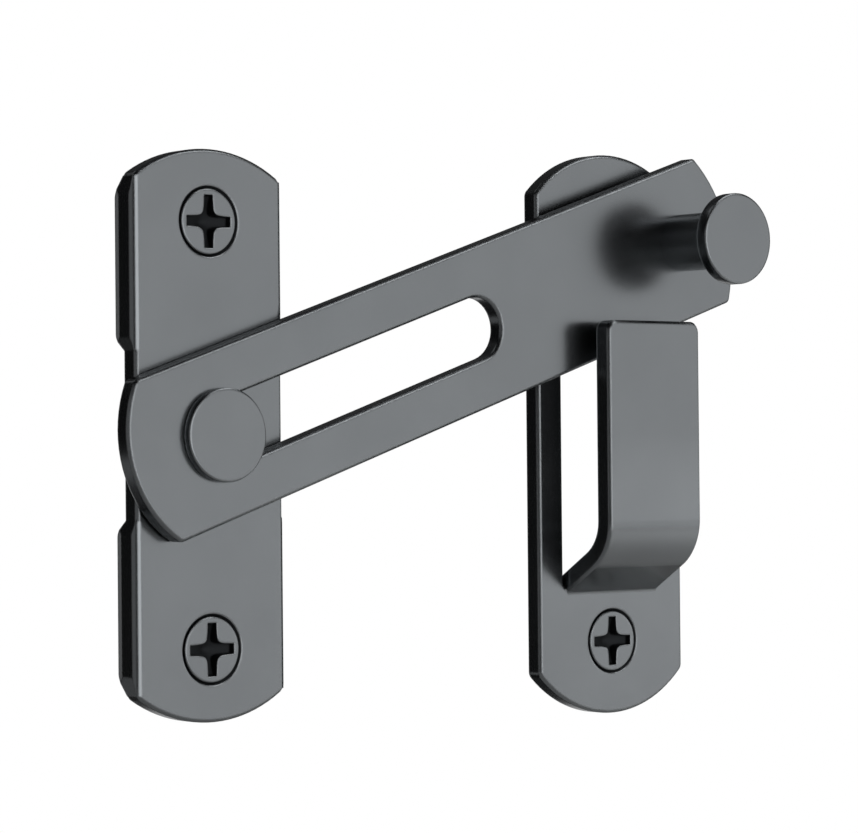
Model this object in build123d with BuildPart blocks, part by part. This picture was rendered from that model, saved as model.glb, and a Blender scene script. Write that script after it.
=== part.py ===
from build123d import *
from math import cos, radians, sin, sqrt, tan
import os

os.makedirs("parts", exist_ok=True)

# A flip latch for a sliding barn door: a base plate with a slotted arm that turns and slides
# on a rivet, and a keeper plate with a hook that the arm drops into.
# Millimetres. The origin is on the wall, on the rivet's axis. X runs along the wall towards
# the keeper, Z is up, and the wall's face is Y = 0. A height is a distance out from the wall.

# Sheet and common fits
plate_sheet = 2.4
arm_sheet = 2.2
edge_break = 0.35
corner_radius = 1.2
running_gap = 0.05
pin_fit = 0.05

# Base plate
base_length = 70.6
base_width = 22.0
base_end_radius = 19.0
base_screw_margin = 8.95

# Legs, folded back from the base plate's side edges
leg_height = 1.7
leg_bulge = 0.35
leg_bend_radius = 1.0
leg_foot_turn = 0.25
leg_foot_turn_height = 1.2
leg_inner_end = 12.0
leg_inner_slant = 1.7
leg_outer_slant = 2.4
leg_end_margin = 0.15
leg_foot_radius = 1.2

# Keeper plate
keeper_distance = 68.1
keeper_length = 76.2
keeper_width = 26.2
keeper_end_radius = 18.0
keeper_screw_margin = 9.85

# Hook, lanced out of the keeper plate
hook_width = 16.8
hook_throat = 6.6
hook_top = 15.1
hook_root_margin = 6.75
hook_rise_angle = 32.0
hook_bend_radius = 5.0
hook_root_radius = 0.5
hook_corner_radius = 1.5
window_kerf = 0.3
window_corner_radius = 0.8

# Arm, lying at its angle in the photograph with the rivet at the slot's left end
arm_angle = 18.6
arm_width = 20.8
arm_tip_reach = 91.3
arm_heel_reach = 13.9
arm_tip_radius = 19.0
arm_heel_radius = 15.8
arm_corner_radius = 0.9
slot_travel = 43.1
slot_clearance = 0.1

# Pivot rivet and the washer under the arm
rivet_shank_radius = 4.0
rivet_tenon_radius = 2.5
rivet_head_radius = 5.8
rivet_head_height = 1.1
rivet_tail_radius = 3.8
rivet_tail_height = 1.0
rivet_tail_break = 0.5
washer_height = 0.4
washer_radius = 6.9

# Knob
knob_reach = 82.0
knob_head_radius = 6.15
knob_head_height = 1.9
knob_stem_radius = 3.9
knob_stem_length = 9.2
knob_tenon_radius = 2.5
knob_flare = 0.8
turned_edge_break = 0.25

# Screws
screw_shank_radius = 1.95
screw_hole_fit = 0.2
screw_head_radius = 3.95
screw_rim_height = 0.3
screw_seat_fit = 0.05
countersink_margin = 0.55
countersink_angle = 90.0
screw_length = 16.0
screw_point_length = 3.5
recess_length = 6.2
recess_width = 1.35
recess_depth = 1.5
recess_taper_angle = 12.0
recess_heart = 2.7

# Heights that follow, out from the wall
base_back = leg_height
base_front = base_back + plate_sheet
arm_back = base_front + washer_height + running_gap
arm_front = arm_back + arm_sheet
rivet_head_back = arm_front + running_gap
keeper_front = plate_sheet
tab_back = keeper_front + hook_throat

# Places that follow
base_screw_pitch = base_length - 2 * base_screw_margin
keeper_screw_pitch = keeper_length - 2 * keeper_screw_margin
hook_root_depth = keeper_screw_pitch / 2 - hook_root_margin
screw_hole_radius = screw_shank_radius + screw_hole_fit
countersink_radius = screw_head_radius + countersink_margin
knob_x = knob_reach * cos(radians(arm_angle))
knob_z = knob_reach * sin(radians(arm_angle))
knob_axis = Axis((knob_x, 0, knob_z), (0, 1, 0))


def wall_plane(height, x=0.0, z=0.0, turn=0.0):
    """A plane parallel to the wall, facing the viewer, its X axis turned up by an angle."""
    along = (cos(radians(turn)), 0, sin(radians(turn)))
    return Plane(origin=(x, -height, z), x_dir=along, z_dir=(0, -1, 0))


def sagitta(radius, chord):
    """How far an arc of this radius stands out from its chord."""
    return radius - sqrt(radius**2 - (chord / 2) ** 2)


def arc_ended_face(plane, width, low_end, high_end, low_radius, high_radius, rounding):
    """A bar's face: straight sides along local X and an arc across each end."""
    half = width / 2
    low = low_end + sagitta(low_radius, width)
    high = high_end - sagitta(high_radius, width)
    with BuildSketch(plane) as face:
        with BuildLine():
            Line((low, half), (high, half))
            ThreePointArc((high, half), (high_end, 0), (high, -half))
            Line((high, -half), (low, -half))
            ThreePointArc((low, -half), (low_end, 0), (low, half))
        make_face()
        fillet(face.vertices(), radius=rounding)
    return face.sketch


def upright_plate_face(height, x, width, length, end_radius):
    """A plate's face, its length standing upright, centred at x."""
    upright = wall_plane(height, x=x, turn=90)
    half = length / 2
    return arc_ended_face(upright, width, -half, half, end_radius, end_radius, corner_radius)


def front_face(builder):
    """The flat face that looks at the viewer, whose sharp edges are broken."""
    return builder.faces().filter_by(Axis.Y).sort_by(Axis.Y)[0]


# The base plate's legs: one bent section, cut to its length and mirrored to the four corners.
# The plate's side edge swells out into each leg, a leg's ends slant towards its foot, and the
# foot turns in a little.
leg_side = base_width / 2 + leg_bulge
leg_root_low = leg_inner_end - leg_inner_slant
leg_root_high = base_length / 2 - sagitta(base_end_radius, base_width) - leg_end_margin
leg_outer_end = leg_root_high - leg_outer_slant
with BuildPart() as legs:
    with BuildSketch(Plane.XY.offset(leg_root_low)) as bend:
        with BuildLine():
            Polyline(
                (leg_side - 2 * plate_sheet, -base_front),
                (leg_side, -base_front),
                (leg_side, -leg_foot_turn_height),
                (leg_side - leg_foot_turn, 0),
                (leg_side - plate_sheet, 0),
                (leg_side - plate_sheet, -base_back),
                (leg_side - 2 * plate_sheet, -base_back),
                close=True,
            )
        make_face()
        fillet(bend.vertices().group_by(Axis.X)[-1].sort_by(Axis.Y)[0], radius=leg_bend_radius)
    extrude(amount=leg_root_high - leg_root_low)
    with BuildSketch(Plane.YZ) as leg_ends:
        with BuildLine():
            Polyline(
                (-base_front, leg_root_low),
                (-base_back, leg_root_low),
                (0, leg_inner_end),
                (0, leg_outer_end),
                (-base_back, leg_root_high),
                (-base_front, leg_root_high),
                close=True,
            )
        make_face()
        fillet(leg_ends.vertices().group_by(Axis.X)[-1], radius=leg_foot_radius)
    extrude(amount=leg_side, mode=Mode.INTERSECT)
    with BuildSketch(wall_plane(0)):
        with BuildLine():
            Polyline(
                (0, leg_root_low),
                (base_width / 2, leg_root_low),
                (leg_side, leg_inner_end),
                (leg_side, leg_outer_end),
                (base_width / 2, leg_root_high),
                (0, leg_root_high),
                close=True,
            )
        make_face()
    extrude(amount=base_front, mode=Mode.INTERSECT)
    mirror(about=Plane.XY)
    mirror(about=Plane.YZ)

# Base plate: its flat, the front edge broken, stops where the bends start
with BuildPart() as base_plate:
    extrude(upright_plate_face(base_back, 0, base_width, base_length, base_end_radius), amount=plate_sheet)
    chamfer(front_face(base_plate).edges(), length=edge_break)
    with BuildSketch(wall_plane(base_back)):
        with GridLocations(2 * leg_side, leg_root_low + leg_root_high, 2, 2):
            Rectangle(2 * leg_bend_radius, leg_root_high - leg_root_low)
    extrude(amount=plate_sheet, mode=Mode.SUBTRACT)
    add(legs.part)
    with Locations(wall_plane(base_front)):
        with GridLocations(0, base_screw_pitch, 1, 2):
            CounterSinkHole(screw_hole_radius, countersink_radius, counter_sink_angle=countersink_angle)
        Hole(rivet_tenon_radius + pin_fit)
base_plate.part.label = "base_plate"

# Pivot rivet: head, shoulder for the slot, tenon through the plate, peened tail behind it
with BuildPart() as pivot_rivet:
    with BuildSketch(Plane.XY) as rivet_profile:
        with BuildLine():
            Polyline(
                (0, rivet_tail_height - base_back),
                (rivet_tail_radius, rivet_tail_height - base_back),
                (rivet_tail_radius, -base_back),
                (rivet_tenon_radius, -base_back),
                (rivet_tenon_radius, -base_front),
                (rivet_shank_radius, -base_front),
                (rivet_shank_radius, -rivet_head_back),
                (rivet_head_radius, -rivet_head_back),
                (rivet_head_radius, -rivet_head_back - rivet_head_height),
                (0, -rivet_head_back - rivet_head_height),
                close=True,
            )
        make_face()
        chamfer(rivet_profile.vertices().group_by(Axis.Y)[0].sort_by(Axis.X)[-1], length=turned_edge_break)
        chamfer(rivet_profile.vertices().group_by(Axis.Y)[-1].sort_by(Axis.X)[-1], length=rivet_tail_break)
    revolve(axis=Axis.Y)
pivot_rivet.part.label = "pivot_rivet"

# Thin washer on the rivet's shoulder, between plate and arm
with BuildPart() as spacer_washer:
    with BuildSketch(wall_plane(base_front)):
        Circle(washer_radius)
        Circle(rivet_shank_radius + slot_clearance, mode=Mode.SUBTRACT)
    extrude(amount=washer_height)
spacer_washer.part.label = "spacer_washer"

# Arm: a slotted bar with an arc at heel and tip, and a hole for the knob's tenon
with BuildPart() as latch_arm:
    extrude(
        arc_ended_face(
            wall_plane(arm_back, turn=arm_angle),
            arm_width,
            -arm_heel_reach,
            arm_tip_reach,
            arm_heel_radius,
            arm_tip_radius,
            arm_corner_radius,
        ),
        amount=arm_sheet,
    )
    with BuildSketch(wall_plane(arm_back, turn=arm_angle)):
        with Locations((slot_travel / 2, 0)):
            SlotCenterToCenter(slot_travel, 2 * (rivet_shank_radius + slot_clearance))
    extrude(amount=arm_sheet, mode=Mode.SUBTRACT)
    chamfer(front_face(latch_arm).edges(), length=edge_break)
    with Locations(Plane(origin=(knob_x, -arm_back, knob_z), z_dir=(0, 1, 0))):
        CounterSinkHole(
            knob_tenon_radius + pin_fit,
            knob_tenon_radius + pin_fit + knob_flare,
            counter_sink_angle=countersink_angle,
        )
latch_arm.part.label = "latch_arm"

# Knob: disc head on a plain stem, its tenon spread into the arm's back
stem_end = arm_front + knob_stem_length
with BuildPart() as knob:
    with BuildSketch(Plane(origin=(knob_x, 0, knob_z), x_dir=(1, 0, 0), z_dir=(0, 0, 1))) as knob_profile:
        with BuildLine():
            Polyline(
                (0, -arm_back),
                (knob_tenon_radius + knob_flare, -arm_back),
                (knob_tenon_radius, -arm_back - knob_flare),
                (knob_tenon_radius, -arm_front),
                (knob_stem_radius, -arm_front),
                (knob_stem_radius, -stem_end),
                (knob_head_radius, -stem_end),
                (knob_head_radius, -stem_end - knob_head_height),
                (0, -stem_end - knob_head_height),
                close=True,
            )
        make_face()
        chamfer(knob_profile.vertices().sort_by(Axis.X)[-2:], length=turned_edge_break)
    revolve(axis=knob_axis)
knob.part.label = "knob"

# Keeper plate. Its hook is a strip of the same sheet whose middle line goes up, out and up
# again, and the window is as tall as that strip was before it was bent.
sheet_middle = plate_sheet / 2
hook_rise = tan(radians(hook_rise_angle))
slant_offset = sheet_middle / cos(radians(hook_rise_angle))
bend_turn = radians(90 - hook_rise_angle)
root_bend_length = (hook_root_radius + sheet_middle) * tan(bend_turn / 2)
root_corner_z = -hook_root_depth - sheet_middle * hook_rise + slant_offset
tab_middle = tab_back + sheet_middle
tab_corner_z = root_corner_z + (tab_middle - sheet_middle) * hook_rise
root_bend_start = root_corner_z - root_bend_length
window_bottom = root_corner_z
with BuildSketch(Plane.YZ.offset(keeper_distance)) as hook_section:
    with BuildLine() as hook_path:
        FilletPolyline(
            (-sheet_middle, root_bend_start - sheet_middle),
            (-sheet_middle, root_corner_z),
            (-tab_middle, tab_corner_z),
            (-tab_middle, hook_top),
            radius=[hook_root_radius + sheet_middle, hook_bend_radius + sheet_middle],
        )
    trace(line_width=plate_sheet)
hook_blank_length = hook_path.wire().length - sheet_middle
window_top = root_bend_start + hook_blank_length + window_kerf
with BuildPart() as hook:
    extrude(hook_section.sketch, amount=hook_width / 2, both=True)
    fillet(hook.edges().filter_by(Axis.Y).group_by(Axis.Z)[-1], radius=hook_corner_radius)
    chamfer(front_face(hook).edges().group_by(Axis.Z)[1:], length=edge_break)
with BuildPart() as keeper_plate:
    extrude(
        upright_plate_face(0, keeper_distance, keeper_width, keeper_length, keeper_end_radius),
        amount=plate_sheet,
    )
    with BuildSketch(wall_plane(0, x=keeper_distance, z=(window_bottom + window_top) / 2)):
        RectangleRounded(hook_width + 2 * window_kerf, window_top - window_bottom, window_corner_radius)
    extrude(amount=plate_sheet, mode=Mode.SUBTRACT)
    chamfer(front_face(keeper_plate).edges(), length=edge_break)
    add(hook.part)
    with Locations(wall_plane(keeper_front, x=keeper_distance)):
        with GridLocations(0, keeper_screw_pitch, 1, 2):
            CounterSinkHole(screw_hole_radius, countersink_radius, counter_sink_angle=countersink_angle)
keeper_plate.part.label = "keeper_plate"


def countersunk_screw(x, z, plate_front):
    """A countersunk wood screw with a cross recess, its cone seated in a plate's countersink."""
    slope = tan(radians(countersink_angle / 2))
    top = plate_front - (countersink_margin - screw_seat_fit) / slope + screw_rim_height
    neck = top - screw_rim_height - (screw_head_radius - screw_shank_radius) / slope
    tip = top - screw_length
    with BuildPart() as screw:
        with BuildSketch(Plane(origin=(x, 0, z), x_dir=(1, 0, 0), z_dir=(0, 0, 1))):
            with BuildLine():
                Polyline(
                    (0, -top),
                    (screw_head_radius, -top),
                    (screw_head_radius, screw_rim_height - top),
                    (screw_shank_radius, -neck),
                    (screw_shank_radius, -tip - screw_point_length),
                    (0, -tip),
                    close=True,
                )
            make_face()
        revolve(axis=Axis((x, 0, z), (0, 1, 0)))
        with BuildSketch(wall_plane(top, x=x, z=z)):
            Rectangle(recess_length, recess_width)
            Rectangle(recess_width, recess_length)
            Rectangle(recess_heart, recess_heart, rotation=45)
        extrude(amount=-recess_depth, taper=recess_taper_angle, mode=Mode.SUBTRACT)
    return screw


screw_places = {
    "screw_base_top": (0, base_screw_pitch / 2, base_front),
    "screw_base_bottom": (0, -base_screw_pitch / 2, base_front),
    "screw_keeper_top": (keeper_distance, keeper_screw_pitch / 2, keeper_front),
    "screw_keeper_bottom": (keeper_distance, -keeper_screw_pitch / 2, keeper_front),
}
for name, place in screw_places.items():
    one_screw = countersunk_screw(*place)
    one_screw.part.label = name
    export_step(one_screw.part, f"parts/{name}.step")

for piece in (base_plate, pivot_rivet, spacer_washer, latch_arm, knob, keeper_plate):
    export_step(piece.part, f"parts/{piece.part.label}.step")

print("window from", round(window_bottom, 2), "to", round(window_top, 2))
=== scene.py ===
# %% [markdown]
# # A flip latch for a sliding barn door
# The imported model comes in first. It stays fixed, and everything below is fitted to it: finishes for
# the stamped sheet pieces, and new meshes for the turned and threaded ones.

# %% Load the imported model
import math

import bpy
import numpy as np
from mathutils import Matrix, Vector


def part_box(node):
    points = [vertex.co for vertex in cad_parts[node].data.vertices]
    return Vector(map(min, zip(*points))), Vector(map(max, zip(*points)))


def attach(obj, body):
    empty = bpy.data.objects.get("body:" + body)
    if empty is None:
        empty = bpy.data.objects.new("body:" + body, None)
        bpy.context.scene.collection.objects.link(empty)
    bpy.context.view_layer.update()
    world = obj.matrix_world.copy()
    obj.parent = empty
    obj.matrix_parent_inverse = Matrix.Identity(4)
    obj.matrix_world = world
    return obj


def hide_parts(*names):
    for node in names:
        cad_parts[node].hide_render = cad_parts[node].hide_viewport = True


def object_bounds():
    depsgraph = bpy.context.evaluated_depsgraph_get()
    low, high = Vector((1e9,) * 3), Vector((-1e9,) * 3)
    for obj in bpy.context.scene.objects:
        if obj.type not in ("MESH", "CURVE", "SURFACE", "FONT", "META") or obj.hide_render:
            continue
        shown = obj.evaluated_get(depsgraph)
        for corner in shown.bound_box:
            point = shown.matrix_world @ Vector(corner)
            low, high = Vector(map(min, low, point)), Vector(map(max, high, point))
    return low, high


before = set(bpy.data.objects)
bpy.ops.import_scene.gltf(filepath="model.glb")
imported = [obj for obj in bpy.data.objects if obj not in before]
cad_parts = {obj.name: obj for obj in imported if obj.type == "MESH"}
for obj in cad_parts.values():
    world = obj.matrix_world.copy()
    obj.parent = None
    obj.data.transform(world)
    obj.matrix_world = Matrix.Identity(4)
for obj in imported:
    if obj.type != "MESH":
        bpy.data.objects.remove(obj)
cad_low, cad_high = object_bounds()
MM = 0.001
print("CAD box in mm:", [round(v / MM, 1) for v in (*cad_low, *cad_high)])

# %% [markdown]
# ## Shader maths as sums
# A finish is easier to read as a sum than as a list of nodes and links. Blender has no such form,
# so one small class wraps a socket, and Python's operators on it add the Math nodes.
# Every other node comes from one method, which takes its type, its settings and its inputs.


# %% A socket that takes part in sums
class Term:
    """An output socket in a material. Each operator adds the Math node of the same name."""

    def __init__(self, finish, socket):
        self.finish, self.socket = finish, socket

    def worked(self, operation, *terms):
        return self.finish.worked(operation, *terms)

    def __add__(self, other):
        return self.worked("ADD", self, other)

    def __sub__(self, other):
        return self.worked("SUBTRACT", self, other)

    def __rsub__(self, other):
        return self.worked("SUBTRACT", other, self)

    def __mul__(self, other):
        return self.worked("MULTIPLY", self, other)

    def __pow__(self, other):
        return self.worked("POWER", self, other)

    __radd__ = __add__
    __rmul__ = __mul__

    def at_most(self, limit):
        return self.worked("MINIMUM", self, limit)

    def at_least(self, limit):
        return self.worked("MAXIMUM", self, limit)


class Finish:
    """A material with one Principled BSDF, whose constants are set straight on its sockets."""

    def __init__(self, name, **constants):
        self.material = bpy.data.materials.new(name)
        self.material.use_nodes = True
        self.tree = self.material.node_tree
        self.surface = self.tree.nodes["Principled BSDF"]
        for socket, value in constants.items():
            self.surface.inputs[socket.replace("_", " ")].default_value = value

    def node(self, kind, settings=None, inputs=None, output=0):
        """Adds a node: its settings first, then a value or a Term for each named or numbered input."""
        made = self.tree.nodes.new(kind)
        for name, value in (settings or {}).items():
            setattr(made, name, value)
        for name, value in (inputs or {}).items():
            if isinstance(value, Term):
                self.tree.links.new(value.socket, made.inputs[name])
            else:
                made.inputs[name].default_value = value
        return Term(self, made.outputs[output])

    def feed(self, socket, term):
        """Links a Term to one of the surface's sockets."""
        self.tree.links.new(term.socket, self.surface.inputs[socket])

    def worked(self, operation, *terms):
        """One Math node."""
        return self.node("ShaderNodeMath", {"operation": operation}, dict(enumerate(terms)))

    def three(self, vector):
        """The parts of a vector."""
        split = self.node("ShaderNodeSeparateXYZ", inputs={0: vector}).socket.node
        return [Term(self, split.outputs[part]) for part in range(3)]

    def painted(self, name):
        """A number stored on the mesh under a name."""
        return self.node("ShaderNodeAttribute", {"attribute_name": name}, output="Fac")

    def place(self):
        """A point of the object, in metres."""
        return self.node("ShaderNodeTexCoord", output="Object")

    def cloud(self, per_metre, detail=2.0):
        """Noise from 0 to 1, with so many lumps to the metre."""
        inputs = {"Vector": self.place(), "Scale": per_metre, "Detail": detail}
        return self.node("ShaderNodeTexNoise", inputs=inputs)

    def blended(self, share, first, second):
        """A colour between two, by share. Each is three numbers or a Term. The Mix node has a pair of
        inputs for each type of data, and the colours' pair is numbered 6 and 7."""
        made = self.node("ShaderNodeMix", {"data_type": "RGBA"}, {0: share}, output=2)
        for number, colour in ((6, first), (7, second)):
            if isinstance(colour, Term):
                self.tree.links.new(colour.socket, made.socket.node.inputs[number])
            else:
                made.socket.node.inputs[number].default_value = (*colour, 1)
        return made

    def bumped(self, height, depth, strength, over=None):
        """Raises the surface by height times depth, in metres, over its own normal or a given one."""
        inputs = {"Height": height, "Distance": depth, "Strength": strength}
        if over is not None:
            inputs["Normal"] = over
        self.feed("Normal", self.node("ShaderNodeBump", inputs=inputs))


print("sums ready")

# %% [markdown]
# ## The dark satin coat
# The latch is steel under a thin dark coat that mirrors broad light softly. Flat faces look mid grey,
# and whatever turns away from the light goes nearly black. A metallic surface with a dark base colour
# does that. Clouds about 12 mm wide shift its tone and its gloss a little, as handling does. A grain of
# a quarter of a millimetre breaks the reflections, as a sprayed coat does.
#
# Stamped edges are never quite sharp, and the coat rubs thin on them. The Bevel node bends the normal
# within a short reach of each edge, so it does two jobs here. Fed to the bump it rounds the edge, and
# where it differs from the true normal it says how near the edge is, which gives the wear.

# %% Coat
COAT_DARK = (0.172, 0.182, 0.190)
COAT_LIGHT = (0.204, 0.216, 0.225)
COAT_WORN = (0.30, 0.305, 0.31)
# Painted shade: the near-black colour that countersinks and screw recesses get in place of the shade there.
PAINTED_SHADE_DARK = (0.026, 0.028, 0.030)
COAT_ROUGHNESS, TURNED_DULLNESS, PAINTED_SHADE_DULLNESS = 0.20, 0.01, 0.35
CLOUDS_PER_METRE, CLOUD_CONTRAST, CLOUD_TONE, CLOUD_DULLNESS = 85, 1.5, 0.75, 0.05
SPECKS_PER_METRE, SPECK_TONE, SPECK_DULLNESS = 2600, 0.25, 0.03
SCUFFS_PER_METRE, SCUFF_CONTRAST, SCUFF_CUT = 700, 1.6, 0.35
WEAR_GAIN, WEAR_DULLNESS = 3.0, 0.08
GRAINS_PER_METRE, GRAIN_DEPTH, GRAIN_STRENGTH = 4000, 0.003 * MM, 0.5
EDGE_REACH, EDGE_SAMPLES = 0.35 * MM, 6


def satin_coat(name, dullness=0.0, painted_shade_mask=None):
    """The coat: soft clouds shift tone and roughness, a fine grain gives the bump, and wear is one minus
    the dot product of the true and the bevelled normal, times a gain and the scuffs. The painted shade mask
    is a function that gives the share of painted shade, a near-black colour for shade, which is duller too."""
    coat = Finish(name, Metallic=1.0)
    tone = (coat.cloud(CLOUDS_PER_METRE, detail=3.0) - 0.5) * CLOUD_CONTRAST + 0.5
    speck = coat.cloud(SPECKS_PER_METRE, detail=1.0)
    share = (tone * CLOUD_TONE + speck * SPECK_TONE).at_least(0.0).at_most(1.0)
    soft = coat.node("ShaderNodeBevel", {"samples": EDGE_SAMPLES}, {"Radius": EDGE_REACH})
    flat = coat.node("ShaderNodeNewGeometry", output="Normal")
    alike = coat.node("ShaderNodeVectorMath", {"operation": "DOT_PRODUCT"}, {0: soft, 1: flat}, "Value")
    scuffs = coat.cloud(SCUFFS_PER_METRE, detail=3.0) * SCUFF_CONTRAST - SCUFF_CUT
    wear = ((1.0 - alike) * WEAR_GAIN * scuffs).at_least(0.0).at_most(1.0)
    colour = coat.blended(wear, coat.blended(share, COAT_DARK, COAT_LIGHT), COAT_WORN)
    roughness = tone * CLOUD_DULLNESS + speck * SPECK_DULLNESS + wear * WEAR_DULLNESS
    roughness = roughness + (COAT_ROUGHNESS + dullness)
    # Painted shade: where the mask says so, the colour turns near-black and duller, standing in for shade.
    if painted_shade_mask:
        painted_shade = painted_shade_mask(coat)
        colour = coat.blended(painted_shade, colour, PAINTED_SHADE_DARK)
        roughness = roughness + painted_shade * PAINTED_SHADE_DULLNESS
    coat.feed("Base Color", colour)
    coat.feed("Roughness", roughness)
    coat.bumped(coat.cloud(GRAINS_PER_METRE, detail=1.5), GRAIN_DEPTH, GRAIN_STRENGTH, over=soft)
    return coat


def give(node, finish):
    """Puts a finish on a CAD node."""
    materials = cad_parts[node].data.materials
    materials.clear()
    materials.append(finish.material)
    print(node, "wears", finish.material.name)


give("latch_arm", satin_coat("satin_coat_on_arm"))
turned_coat = satin_coat("satin_coat_on_turned_steel", TURNED_DULLNESS)

# %% [markdown]
# The countersinks get painted shade, a dull near-black colour that stands in for the shade in them, and
# that draws the thin dark ring round each screw. A place is in a countersink when it lies near a screw's
# axis and between the plate's two faces, so comparisons on Object coordinates make the mask. The imported
# heads lie 0.2 mm below the plate's face, so their boxes tell where that face is. Painting the mask on the
# mesh would need more points than the imported plate has.

# %% Painted shade in the countersinks
COUNTERSINK_RADIUS = 4.55 * MM
FACE_MARGIN = 0.08 * MM
SHEET = 2.4 * MM
HEAD_SUNK = 0.2 * MM


def countersinks(plate, *screw_nodes):
    """A painted shade mask for a plate: one where the distance from a screw's axis is under the
    countersink's radius and the depth lies between the plate's two faces."""
    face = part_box(screw_nodes[0])[0][1] - HEAD_SUNK
    places = [np.mean(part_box(screw), axis=0).tolist() for screw in screw_nodes]

    def mask(coat):
        x, y, z = coat.three(coat.place())
        away = [((x - c[0]) ** 2 + (z - c[2]) ** 2) ** 0.5 for c in places]
        near = [coat.worked("LESS_THAN", distance, COUNTERSINK_RADIUS) for distance in away]
        behind = coat.worked("GREATER_THAN", y, face + FACE_MARGIN)
        before = coat.worked("LESS_THAN", y, face + SHEET - FACE_MARGIN)
        return (near[0] + near[1]) * behind * before

    print(plate, "has its face at y =", round(face / MM, 2), "mm")
    return mask


for plate in ("base_plate", "keeper_plate"):
    side = plate.split("_")[0]
    # Each plate's coat gets painted shade in its two countersinks.
    mask = countersinks(plate, f"screw_{side}_top", f"screw_{side}_bottom")
    give(plate, satin_coat("satin_coat_on_" + side, painted_shade_mask=mask))
# The screws' coat gets painted shade, near-black where a number stored on the mesh says so.
screw_coat = satin_coat("satin_coat_on_screws", TURNED_DULLNESS, lambda coat: coat.painted("painted_shade"))

# %% [markdown]
# ## The washer
# Under the arm sits a thin black nylon washer. Only its edge shows. Nylon scatters light and hardly
# mirrors it, so it is a dull plastic with a faint mottle.

# %% Nylon
NYLON_DARK, NYLON_LIGHT = (0.016, 0.016, 0.017), (0.03, 0.03, 0.031)
NYLON_ROUGHNESS, MOTTLE_DULLNESS, MOTTLES_PER_METRE = 0.5, 0.1, 900
PORES_PER_METRE, PORE_DEPTH, PORE_STRENGTH = 3000, 0.005 * MM, 0.4
nylon = Finish("black_nylon", Metallic=0.0)
mottle = nylon.cloud(MOTTLES_PER_METRE)
nylon.feed("Base Color", nylon.blended(mottle, NYLON_DARK, NYLON_LIGHT))
nylon.feed("Roughness", mottle * MOTTLE_DULLNESS + NYLON_ROUGHNESS)
nylon.bumped(nylon.cloud(PORES_PER_METRE), PORE_DEPTH, PORE_STRENGTH)
give("spacer_washer", nylon)

# %% [markdown]
# ## Surfaces round an axis
# The rivet, the knob and the screws all came off a lathe. Each is a profile carried round an axis that
# points into the wall. The mesh is a grid of rings and columns, with one point at each pole.


# %% Rings into a mesh
COLUMNS = 96


def ringed_mesh(name, rings, poles, material, painted_shade=None):
    """Closes a grid of rings (rows, columns, 3) with a fan at each end. Rows run from the viewer's side
    inwards and columns run anticlockwise as the viewer sees them, which turns the faces outwards."""
    rows, columns = rings.shape[:2]
    points = np.vstack([rings.reshape(-1, 3), poles])
    row, column = np.meshgrid(np.arange(rows - 1), np.arange(columns), indexing="ij")
    following = (column + 1) % columns
    near, far = row * columns, (row + 1) * columns
    quads = np.stack([near + column, far + column, far + following, near + following], axis=-1)
    edge = np.arange(columns)
    after = (edge + 1) % columns
    front = np.stack([np.full(columns, rows * columns), edge, after], axis=-1)
    last = (rows - 1) * columns
    back = np.stack([np.full(columns, rows * columns + 1), last + after, last + edge], axis=-1)
    faces = quads.reshape(-1, 4).tolist() + front.tolist() + back.tolist()
    mesh = bpy.data.meshes.new(name)
    mesh.from_pydata(points * MM, [], faces)
    mesh.polygons.foreach_set("use_smooth", np.ones(len(faces), dtype=bool))
    mesh.materials.append(material)
    # The share of painted shade for each row, stored on the mesh for the coat to read.
    if painted_shade is not None:
        shares = np.append(np.repeat(painted_shade, columns), [painted_shade[0], painted_shade[-1]])
        mesh.attributes.new("painted_shade", "FLOAT", "POINT").data.foreach_set("value", shares.astype(np.float32))
    mesh.update()
    piece = bpy.data.objects.new(name, mesh)
    bpy.context.scene.collection.objects.link(piece)
    print(name, "has", len(faces), "faces")
    return piece


def centre_of(node):
    """The middle of a CAD node's box, in mm."""
    low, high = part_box(node)
    return (np.array(low) + np.array(high)) / 2 / MM


# %% [markdown]
# ## Turned pieces
# The rivet's head and the knob's are discs whose corners a file has just broken. A sharp corner never
# catches the light, so each corner of the profile becomes a small arc. The profile is written as
# straight runs with a radius at each corner, and one function rounds it.

# %% Round a profile and turn it
ARC_POINTS = 5
TINY, SAME_POINT = 1e-9, 1e-4


def rounded(corners):
    """A profile from (radius, depth, rounding) rows. Each corner with a rounding becomes an arc that is
    tangent to its two runs; its points are a quadratic blend of the run before and the run after."""
    corners = np.array(corners, float)
    point, rounding = corners[:, :2], corners[:, 2:]
    before = point - np.roll(point, 1, axis=0)
    after = np.roll(point, -1, axis=0) - point
    before /= np.maximum(np.linalg.norm(before, axis=1, keepdims=True), TINY)
    after /= np.maximum(np.linalg.norm(after, axis=1, keepdims=True), TINY)
    t = np.linspace(0, 1, ARC_POINTS)[None, :, None]
    start = (point - before * rounding)[:, None]
    end = (point + after * rounding)[:, None]
    arcs = (1 - t) ** 2 * start + 2 * t * (1 - t) * point[:, None] + t**2 * end
    profile = arcs.reshape(-1, 2)
    keep = np.ones(len(profile), dtype=bool)
    keep[1:] = np.linalg.norm(np.diff(profile, axis=0), axis=1) > SAME_POINT
    return profile[keep]


def turned(name, node, corners):
    """Carries a rounded profile round a node's axis: x and z from the angle, y from the depth."""
    centre = centre_of(node)
    profile = rounded(corners)
    ring = profile[1:-1]
    angle = np.linspace(0, 2 * math.pi, COLUMNS, endpoint=False)
    rings = np.empty((len(ring), COLUMNS, 3))
    rings[..., 0] = centre[0] + ring[:, :1] * np.cos(angle)
    rings[..., 1] = ring[:, 1:]
    rings[..., 2] = centre[2] + ring[:, :1] * np.sin(angle)
    poles = np.array([[centre[0], y, centre[2]] for y in (profile[0, 1], profile[-1, 1])])
    piece = ringed_mesh(name, rings, poles, turned_coat.material)
    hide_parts(node)
    return piece


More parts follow.
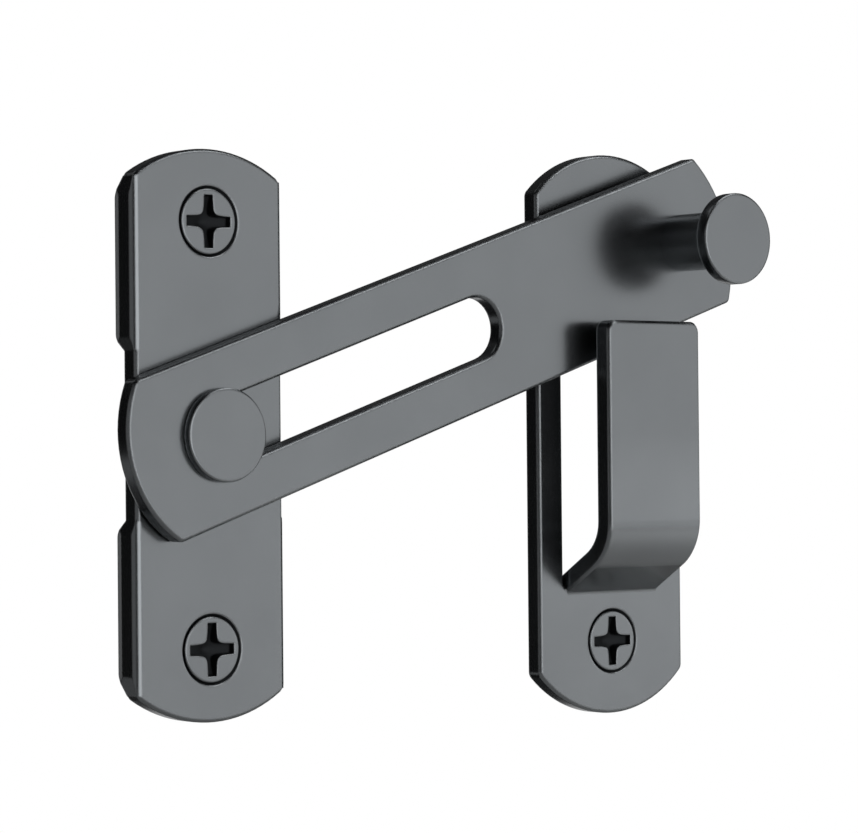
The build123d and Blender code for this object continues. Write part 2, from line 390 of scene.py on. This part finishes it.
# %% [markdown]
# A turned piece has to meet the plates and the arm exactly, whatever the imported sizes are. So the heights
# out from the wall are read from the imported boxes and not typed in.


# %% Heights out from the wall
def face_heights(node):
    """The front and back of a node, as y in mm."""
    low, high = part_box(node)
    return low[1] / MM, high[1] / MM


plate_front, arm_front = face_heights("base_plate")[0], face_heights("latch_arm")[0]
print("plate front", round(plate_front, 2), "arm front", round(arm_front, 2))

# %% [markdown]
# The rivet is one piece: a flat head, a shoulder that the arm's slot slides along, a thinner tenon through
# the plate and a tail spread behind it. A file has taken the edge off the head. The spread tail is
# rounder and has a shallow dent, since a punch made it. The profile starts and ends on the axis, which
# closes the surface. Its rows hold a radius, a depth and a rounding, all in mm.

# %% The rivet
rivet_front, rivet_back = face_heights("pivot_rivet")
RIVET_HEAD, RIVET_HEAD_HEIGHT, RIVET_HEAD_ROUND, RIVET_RIM_ROUND = 5.8, 1.1, 0.28, 0.08
RIVET_SHOULDER, RIVET_TENON = 4.0, 2.5
RIVET_TAIL, RIVET_TAIL_HEIGHT, RIVET_TAIL_ROUND, RIVET_BURR_ROUND = 3.8, 1.0, 0.45, 0.1
DENT_SHARE, DENT_DEPTH, DENT_ROUND = 0.4, 0.15, 0.3
FLAT_SHARE = 0.9
rivet = turned(
    "pivot_rivet_turned",
    "pivot_rivet",
    [
        (0, rivet_front, 0),
        (RIVET_HEAD * FLAT_SHARE, rivet_front, 0),
        (RIVET_HEAD, rivet_front, RIVET_HEAD_ROUND),
        (RIVET_HEAD, rivet_front + RIVET_HEAD_HEIGHT, RIVET_RIM_ROUND),
        (RIVET_SHOULDER, rivet_front + RIVET_HEAD_HEIGHT, 0),
        (RIVET_SHOULDER, plate_front, 0),
        (RIVET_TENON, plate_front, 0),
        (RIVET_TENON, rivet_back - RIVET_TAIL_HEIGHT, 0),
        (RIVET_TAIL, rivet_back - RIVET_TAIL_HEIGHT, RIVET_BURR_ROUND),
        (RIVET_TAIL, rivet_back, RIVET_TAIL_ROUND),
        (RIVET_TAIL * DENT_SHARE, rivet_back, DENT_ROUND),
        (0, rivet_back - DENT_DEPTH, 0),
    ],
)
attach(rivet, "swivel")

# %% [markdown]
# The knob is what a hand lifts: a disc on a plain stem, its tenon spread behind the arm. The stem's end is
# let 0.4 mm into the arm, because a corner lying just on the arm's face would catch a ring of light that
# no tight joint shows. It rides with the arm, so it slides too.

# %% The knob
knob_front, knob_back = face_heights("knob")
KNOB_HEAD, KNOB_HEAD_HEIGHT, KNOB_HEAD_ROUND, KNOB_RIM_ROUND = 6.15, 1.9, 0.3, 0.25
KNOB_STEM, KNOB_NECK_ROUND, STEM_SUNK = 3.9, 0.12, 0.4
KNOB_TENON, KNOB_SPREAD, KNOB_SPREAD_HEIGHT = 2.5, 3.3, 0.8
knob = turned(
    "knob_turned",
    "knob",
    [
        (0, knob_front, 0),
        (KNOB_HEAD * FLAT_SHARE, knob_front, 0),
        (KNOB_HEAD, knob_front, KNOB_HEAD_ROUND),
        (KNOB_HEAD, knob_front + KNOB_HEAD_HEIGHT, KNOB_RIM_ROUND),
        (KNOB_STEM, knob_front + KNOB_HEAD_HEIGHT, KNOB_NECK_ROUND),
        (KNOB_STEM, arm_front + STEM_SUNK, 0),
        (KNOB_TENON, arm_front + STEM_SUNK, 0),
        (KNOB_TENON, knob_back - KNOB_SPREAD_HEIGHT, 0),
        (KNOB_SPREAD, knob_back, 0),
        (0, knob_back, 0),
    ],
)
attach(knob, "arm")

# %% [markdown]
# ## Wood screws
# Each screw is one surface round its axis: the floor of the cross recess, its walls, the flat head, the
# cone, and a threaded shank that runs to a point. Going round the axis, the recess's edge is a distance
# from the centre that depends on the angle alone, so the same grid of rings carries it. The cross is
# given by half a bar's length and width, and by the power that rounds the corners between the bars.

# %% The recess's edge
RECESS_HALF, RECESS_WING, RECESS_BLEND = 3.05, 0.6, 1.4


def recess_edge(angle):
    """Distance from the centre to the edge of a cross with concave curves at its heart. Each bar's edge is
    a straight line in polar form, and the sum of both to a power, rooted again, rounds where they meet."""
    c, s = np.abs(np.cos(angle)) + TINY, np.abs(np.sin(angle)) + TINY
    level = np.minimum(RECESS_HALF / c, RECESS_WING / s)
    upright = np.minimum(RECESS_HALF / s, RECESS_WING / c)
    return (level**RECESS_BLEND + upright**RECESS_BLEND) ** (1 / RECESS_BLEND)


wing_corner = math.atan2(RECESS_WING, RECESS_HALF)
quarter = np.array([wing_corner, math.pi / 2 - wing_corner])
corners_round = (quarter[None] + np.arange(4)[:, None] * math.pi / 2).ravel()
even_angles = np.linspace(0, 2 * math.pi, COLUMNS, endpoint=False)
screw_angles = np.unique(np.round(np.concatenate([even_angles, corners_round]), 6))
print("a screw has", len(screw_angles), "columns")


# %% [markdown]
# The screw is a stack of rings. Each ring has a radius for every angle and one depth below the head. The
# recess's floor dips towards the axis, as the driver's point leaves it. Below the head a plain collar
# runs into a tapered core, and the thread is a ridge added where a wave of depth and angle peaks. A
# screw modifier could wind a thread too, but it wouldn't fade out at the collar and at the tip.
#
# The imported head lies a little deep. A driven screw fills its countersink and leaves only a thin dark
# ring, so the head is drawn level with the plate, with the same cone carried on outwards.

# %% One screw
HEAD_RADIUS, SHANK_RADIUS, CORE_RADIUS = 4.05, 1.95, 1.35
RECESS_DEPTH, RECESS_DIP, RECESS_LIP = 2.1, 0.4, 0.05
FLOOR_SHARES = (0.2, 0.45, 0.7, 0.9, 0.97)
FLAT_START, FLAT_RINGS = 0.2, 4
RIM_WIDTH, RIM_DROP, CONE_START = 0.12, 0.09, 0.4
COLLAR_LENGTH, COLLAR_FADE = 2.4, 0.8
TIP_LENGTH, TIP_RADIUS, TIP_FULLNESS, TIP_GAP = 3.6, 0.12, 0.8, 0.05
THREAD_PITCH, RIDGE_SHARE, RIDGE_RISE = 1.7, 0.27, 2.2
SHANK_RINGS = 110


def screw_shank(length):
    """Radii and depths of the shank's rings: collar, core and thread. The ridge falls off on both sides of
    every place where depth over pitch plus the share of a turn is a whole number."""
    neck = CONE_START + HEAD_RADIUS - SHANK_RADIUS
    depth = np.linspace(neck, length - TIP_GAP, SHANK_RINGS)[:, None]
    taper = np.clip((length - depth) / TIP_LENGTH, 0, 1)
    core = TIP_RADIUS + (CORE_RADIUS - TIP_RADIUS) * taper**TIP_FULLNESS
    collar = np.clip((neck + COLLAR_LENGTH - depth) / COLLAR_FADE, 0, 1)
    phase = depth / THREAD_PITCH + screw_angles / (2 * math.pi)
    ridge = np.clip(1 - np.abs(phase - np.round(phase)) / RIDGE_SHARE, 0, 1)
    crest = (SHANK_RADIUS - CORE_RADIUS) * np.clip(taper * RIDGE_RISE, 0, 1) * (1 - collar)
    return core + (SHANK_RADIUS - core) * collar + ridge * crest, depth


def screw_mesh(name, node):
    """Stacks the rings: recess floor, recess lip, flat head, rim and shank. One number per row says
    whether it gets painted shade: the recess does, and so does the cone, whose first row is the rim's."""
    head, tip = face_heights(node)
    head -= HEAD_SUNK / MM
    centre = centre_of(node)
    edge = recess_edge(screw_angles)
    around = np.ones_like(edge)
    floor = [(edge * s, RECESS_DEPTH - RECESS_DIP * edge * s) for s in FLOOR_SHARES]
    lip = [(edge, RECESS_LIP * around), (edge + RECESS_LIP, 0 * around)]
    outwards = np.linspace(FLAT_START, 1, FLAT_RINGS)
    flat = [((1 - s) * edge + s * (HEAD_RADIUS - RIM_WIDTH), 0 * around) for s in outwards]
    rim = [(HEAD_RADIUS * around, d * around) for d in (RIM_DROP, CONE_START)]
    shank, depth = screw_shank(tip - head)
    radius = np.vstack([r for r, d in floor + lip + flat + rim] + [shank])
    deep = np.vstack([d for r, d in floor + lip + flat + rim] + [depth * around])
    rings = np.empty((*radius.shape, 3))
    rings[..., 0] = centre[0] + radius * np.cos(screw_angles)
    rings[..., 1] = head + deep
    rings[..., 2] = centre[2] + radius * np.sin(screw_angles)
    poles = np.array([[centre[0], head + RECESS_DEPTH, centre[2]], [centre[0], tip, centre[2]]])
    # Painted shade: one on the recess rows and on the cone's first row, nought elsewhere.
    painted_shade = np.repeat([1.0, 0.0, 1.0, 0.0], [len(floor) + 1, len(flat) + 2, 1, SHANK_RINGS])
    piece = ringed_mesh(name, rings, poles, screw_coat.material, painted_shade)
    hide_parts(node)
    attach(piece, "mounted_plates")
    return piece


screw_nodes = [node for node in sorted(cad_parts) if node.startswith("screw_")]
screws = [screw_mesh(node + "_threaded", node) for node in screw_nodes]

# %% [markdown]
# Smooth shading has to stop at real corners, such as the rim of a head or the edge of the recess.
# Marking edges by angle keeps those crisp and leaves the round walls smooth.

# %% Keep corners crisp
CRISP_ANGLE = math.radians(35)
for piece in (rivet, knob, *screws):
    piece.data.set_sharp_from_angle(angle=CRISP_ANGLE)
print("corners over", round(math.degrees(CRISP_ANGLE)), "degrees are crisp")

# %% [markdown]
# ## Light
# The coat shows what it mirrors, so the light is a ring of plain panels, each placed by what it is for.
# Seen from the left, the flat faces mirror what stands to the right, and a large soft panel stands
# there. The bright one in front draws the line of light along each folded edge, and the one above on the
# right lights the upper edges. The left side gets a wide dim panel only, so the knob's stem stays dark.
# Of the six behind, three draw the far edges, and three lie low, where the backs mirror them and most
# side faces don't. A small one points down and makes the pale pool on the floor that the hook's bend
# mirrors.
#
# A panel's place is easier to judge as a bearing and a height, as a photographer would set it up, so one
# function turns those into metres. A table then has a row for each panel that faces the latch.


# %% Panels of light
PANEL_DISTANCE = 1.0
PANELS = (  # name, bearing, height in degrees, width and height in metres, radiance
    ("soft_panel_right", 46, 0, (0.9, 0.68), 0.98),
    ("bright_panel_front", -4, 2, (0.82, 0.8), 2.2),
    ("dim_panel_left", -81, 3, (1.2, 0.9), 0.3),
    ("edge_panel_above_right", 44, 52, (0.7, 0.38), 3.4),
    ("panel_behind_right", 118, 12, (0.4, 0.3), 0.8),
    ("panel_behind_left", 190, 10, (0.25, 0.9), 0.35),
    ("high_panel_behind", 215, 58, (0.5, 0.3), 0.6),
    ("low_panel_at_138", 138, -20, (0.62, 0.24), 0.6),
    ("low_panel_at_178", 178, -20, (0.62, 0.24), 0.6),
    ("low_panel_at_226", 226, -20, (0.62, 0.24), 0.3),
)
POOL_BEARING, POOL_DISTANCE, POOL_SIZE, POOL_RADIANCE = 60, 0.36, (0.3, 0.3), 1.3
middle = (np.array(cad_low) + np.array(cad_high)) / 2


def round_about(bearing, height, distance):
    """A place round the latch: bearing in degrees from straight in front towards its right, then the
    height over the level of its middle, in degrees."""
    turn, lift = math.radians(bearing), math.radians(height)
    away = np.array([math.sin(turn) * math.cos(lift), -math.cos(turn) * math.cos(lift), math.sin(lift)])
    return middle + distance * away


def panel(name, place, size, radiance, aim=middle):
    """A rectangular panel turned to face its aim. Its power is the radiance times pi times its area."""
    lamp = bpy.data.lights.new(name, "AREA")
    lamp.shape = "RECTANGLE"
    lamp.size, lamp.size_y = size
    lamp.energy = radiance * math.pi * size[0] * size[1]
    stand = bpy.data.objects.new(name, lamp)
    stand.location = place
    stand.rotation_mode = "QUATERNION"
    stand.rotation_quaternion = Vector(place - aim).to_track_quat("Z", "Y")
    stand.visible_camera = False
    bpy.context.scene.collection.objects.link(stand)
    print(name, "stands at", place.round(2))


for name, bearing, height, size, radiance in PANELS:
    panel(name, round_about(bearing, height, PANEL_DISTANCE), size, radiance)
pool = round_about(POOL_BEARING, 0, POOL_DISTANCE)
panel("floor_pool", pool, POOL_SIZE, POOL_RADIANCE, aim=pool - (0, 0, 1))

# %% [markdown]
# ## World
# The photograph's background is plain white, yet the side faces mirror a dark room. Light Path tells the
# two apart: rays from the camera see white, and all others see a dim grey that grows to the right. One
# world does both, so nothing has to be cut out afterwards.

# %% World
DARK_SIDE, BRIGHT_SIDE = 0.01, 0.07
FADE_FROM, FADE_TO = -0.4, 0.9
ROOM_COLOUR, PAPER_WHITE = (0.97, 0.98, 1.0, 1), (1, 1, 1, 1)
world = bpy.data.worlds.new("studio")
bpy.context.scene.world = world
world.use_nodes = True
room = world.node_tree
mirrored = room.nodes["Background"]
seen, choice, direction, split, fade, ray = (
    room.nodes.new("ShaderNode" + kind)
    for kind in ("Background", "MixShader", "TexCoord", "SeparateXYZ", "MapRange", "LightPath")
)
for socket, value in zip(list(fade.inputs)[1:5], (FADE_FROM, FADE_TO, DARK_SIDE, BRIGHT_SIDE)):
    socket.default_value = value
mirrored.inputs["Color"].default_value = ROOM_COLOUR
seen.inputs["Color"].default_value = PAPER_WHITE
for source, target in (
    (direction.outputs["Generated"], split.inputs[0]),
    (split.outputs["X"], fade.inputs[0]),
    (fade.outputs[0], mirrored.inputs["Strength"]),
    (ray.outputs["Is Camera Ray"], choice.inputs[0]),
    (mirrored.outputs[0], choice.inputs[1]),
    (seen.outputs[0], choice.inputs[2]),
    (choice.outputs[0], room.nodes["World Output"].inputs["Surface"]),
):
    room.links.new(source, target)
print("world made of", len(room.nodes), "nodes")

# %% [markdown]
# ## Floor
# The pale floor lies below, on the viewer's side of the wall. The hook's bend and its underside mirror
# it, which shows how round they are.

# %% Floor
FLOOR_REACH, FLOOR_BACK, FLOOR_LEVEL = 0.45, 0.05, -0.13
PALE_PAINT, PAINT_ROUGHNESS = (0.82, 0.82, 0.81, 1), 0.9
floor_mesh = bpy.data.meshes.new("pale_floor")
floor_corners = [
    (x, y, FLOOR_LEVEL)
    for x, y in (
        (-FLOOR_REACH, -FLOOR_REACH),
        (FLOOR_REACH, -FLOOR_REACH),
        (FLOOR_REACH, FLOOR_BACK),
        (-FLOOR_REACH, FLOOR_BACK),
    )
]
floor_mesh.from_pydata(floor_corners, [], [(0, 1, 2, 3)])
floor = bpy.data.objects.new("pale_floor", floor_mesh)
bpy.context.scene.collection.objects.link(floor)
floor_paint = Finish("pale_floor_paint", Base_Color=PALE_PAINT, Roughness=PAINT_ROUGHNESS)
floor_mesh.materials.append(floor_paint.material)
print("floor at", FLOOR_LEVEL, "m")

# %% [markdown]
# ## Camera
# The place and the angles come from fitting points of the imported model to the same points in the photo.
# The focal length was found in pixels, so it is turned into millimetres by the frame's width. The matrix
# is built from three directions: to the camera's right, up, and back towards the viewer.

# %% Camera
FOCAL_PIXELS, FRAME_WIDTH, SENSOR_WIDTH = 3250, 858, 36
NEAREST, FARTHEST = 0.01, 10
CAMERA_PLACE = np.array([-232.009, -330.795, -2.534]) * MM
AZIMUTH, ELEVATION, ROLL = (math.radians(v) for v in (-39.23, -0.66, -0.53))
camera_data = bpy.data.cameras.new("viewer")
camera_data.sensor_width = SENSOR_WIDTH
camera_data.lens = FOCAL_PIXELS / FRAME_WIDTH * SENSOR_WIDTH
camera_data.clip_start, camera_data.clip_end = NEAREST, FARTHEST
camera = bpy.data.objects.new("viewer", camera_data)
sideways, forwards = math.sin(AZIMUTH) * math.cos(ELEVATION), math.cos(AZIMUTH) * math.cos(ELEVATION)
back = np.array([sideways, -forwards, math.sin(ELEVATION)])
level = np.array([math.cos(AZIMUTH), math.sin(AZIMUTH), 0])
upward = np.cross(back, level)
right = level * math.cos(ROLL) + upward * math.sin(ROLL)
up = upward * math.cos(ROLL) - level * math.sin(ROLL)
turn_and_place = np.column_stack([right, up, back, CAMERA_PLACE])
camera.matrix_world = Matrix([*turn_and_place.tolist(), [0, 0, 0, 1]])
bpy.context.scene.collection.objects.link(camera)
bpy.context.scene.camera = camera
bpy.context.scene.view_settings.view_transform = "Standard"
print("lens", round(camera_data.lens, 1), "mm")
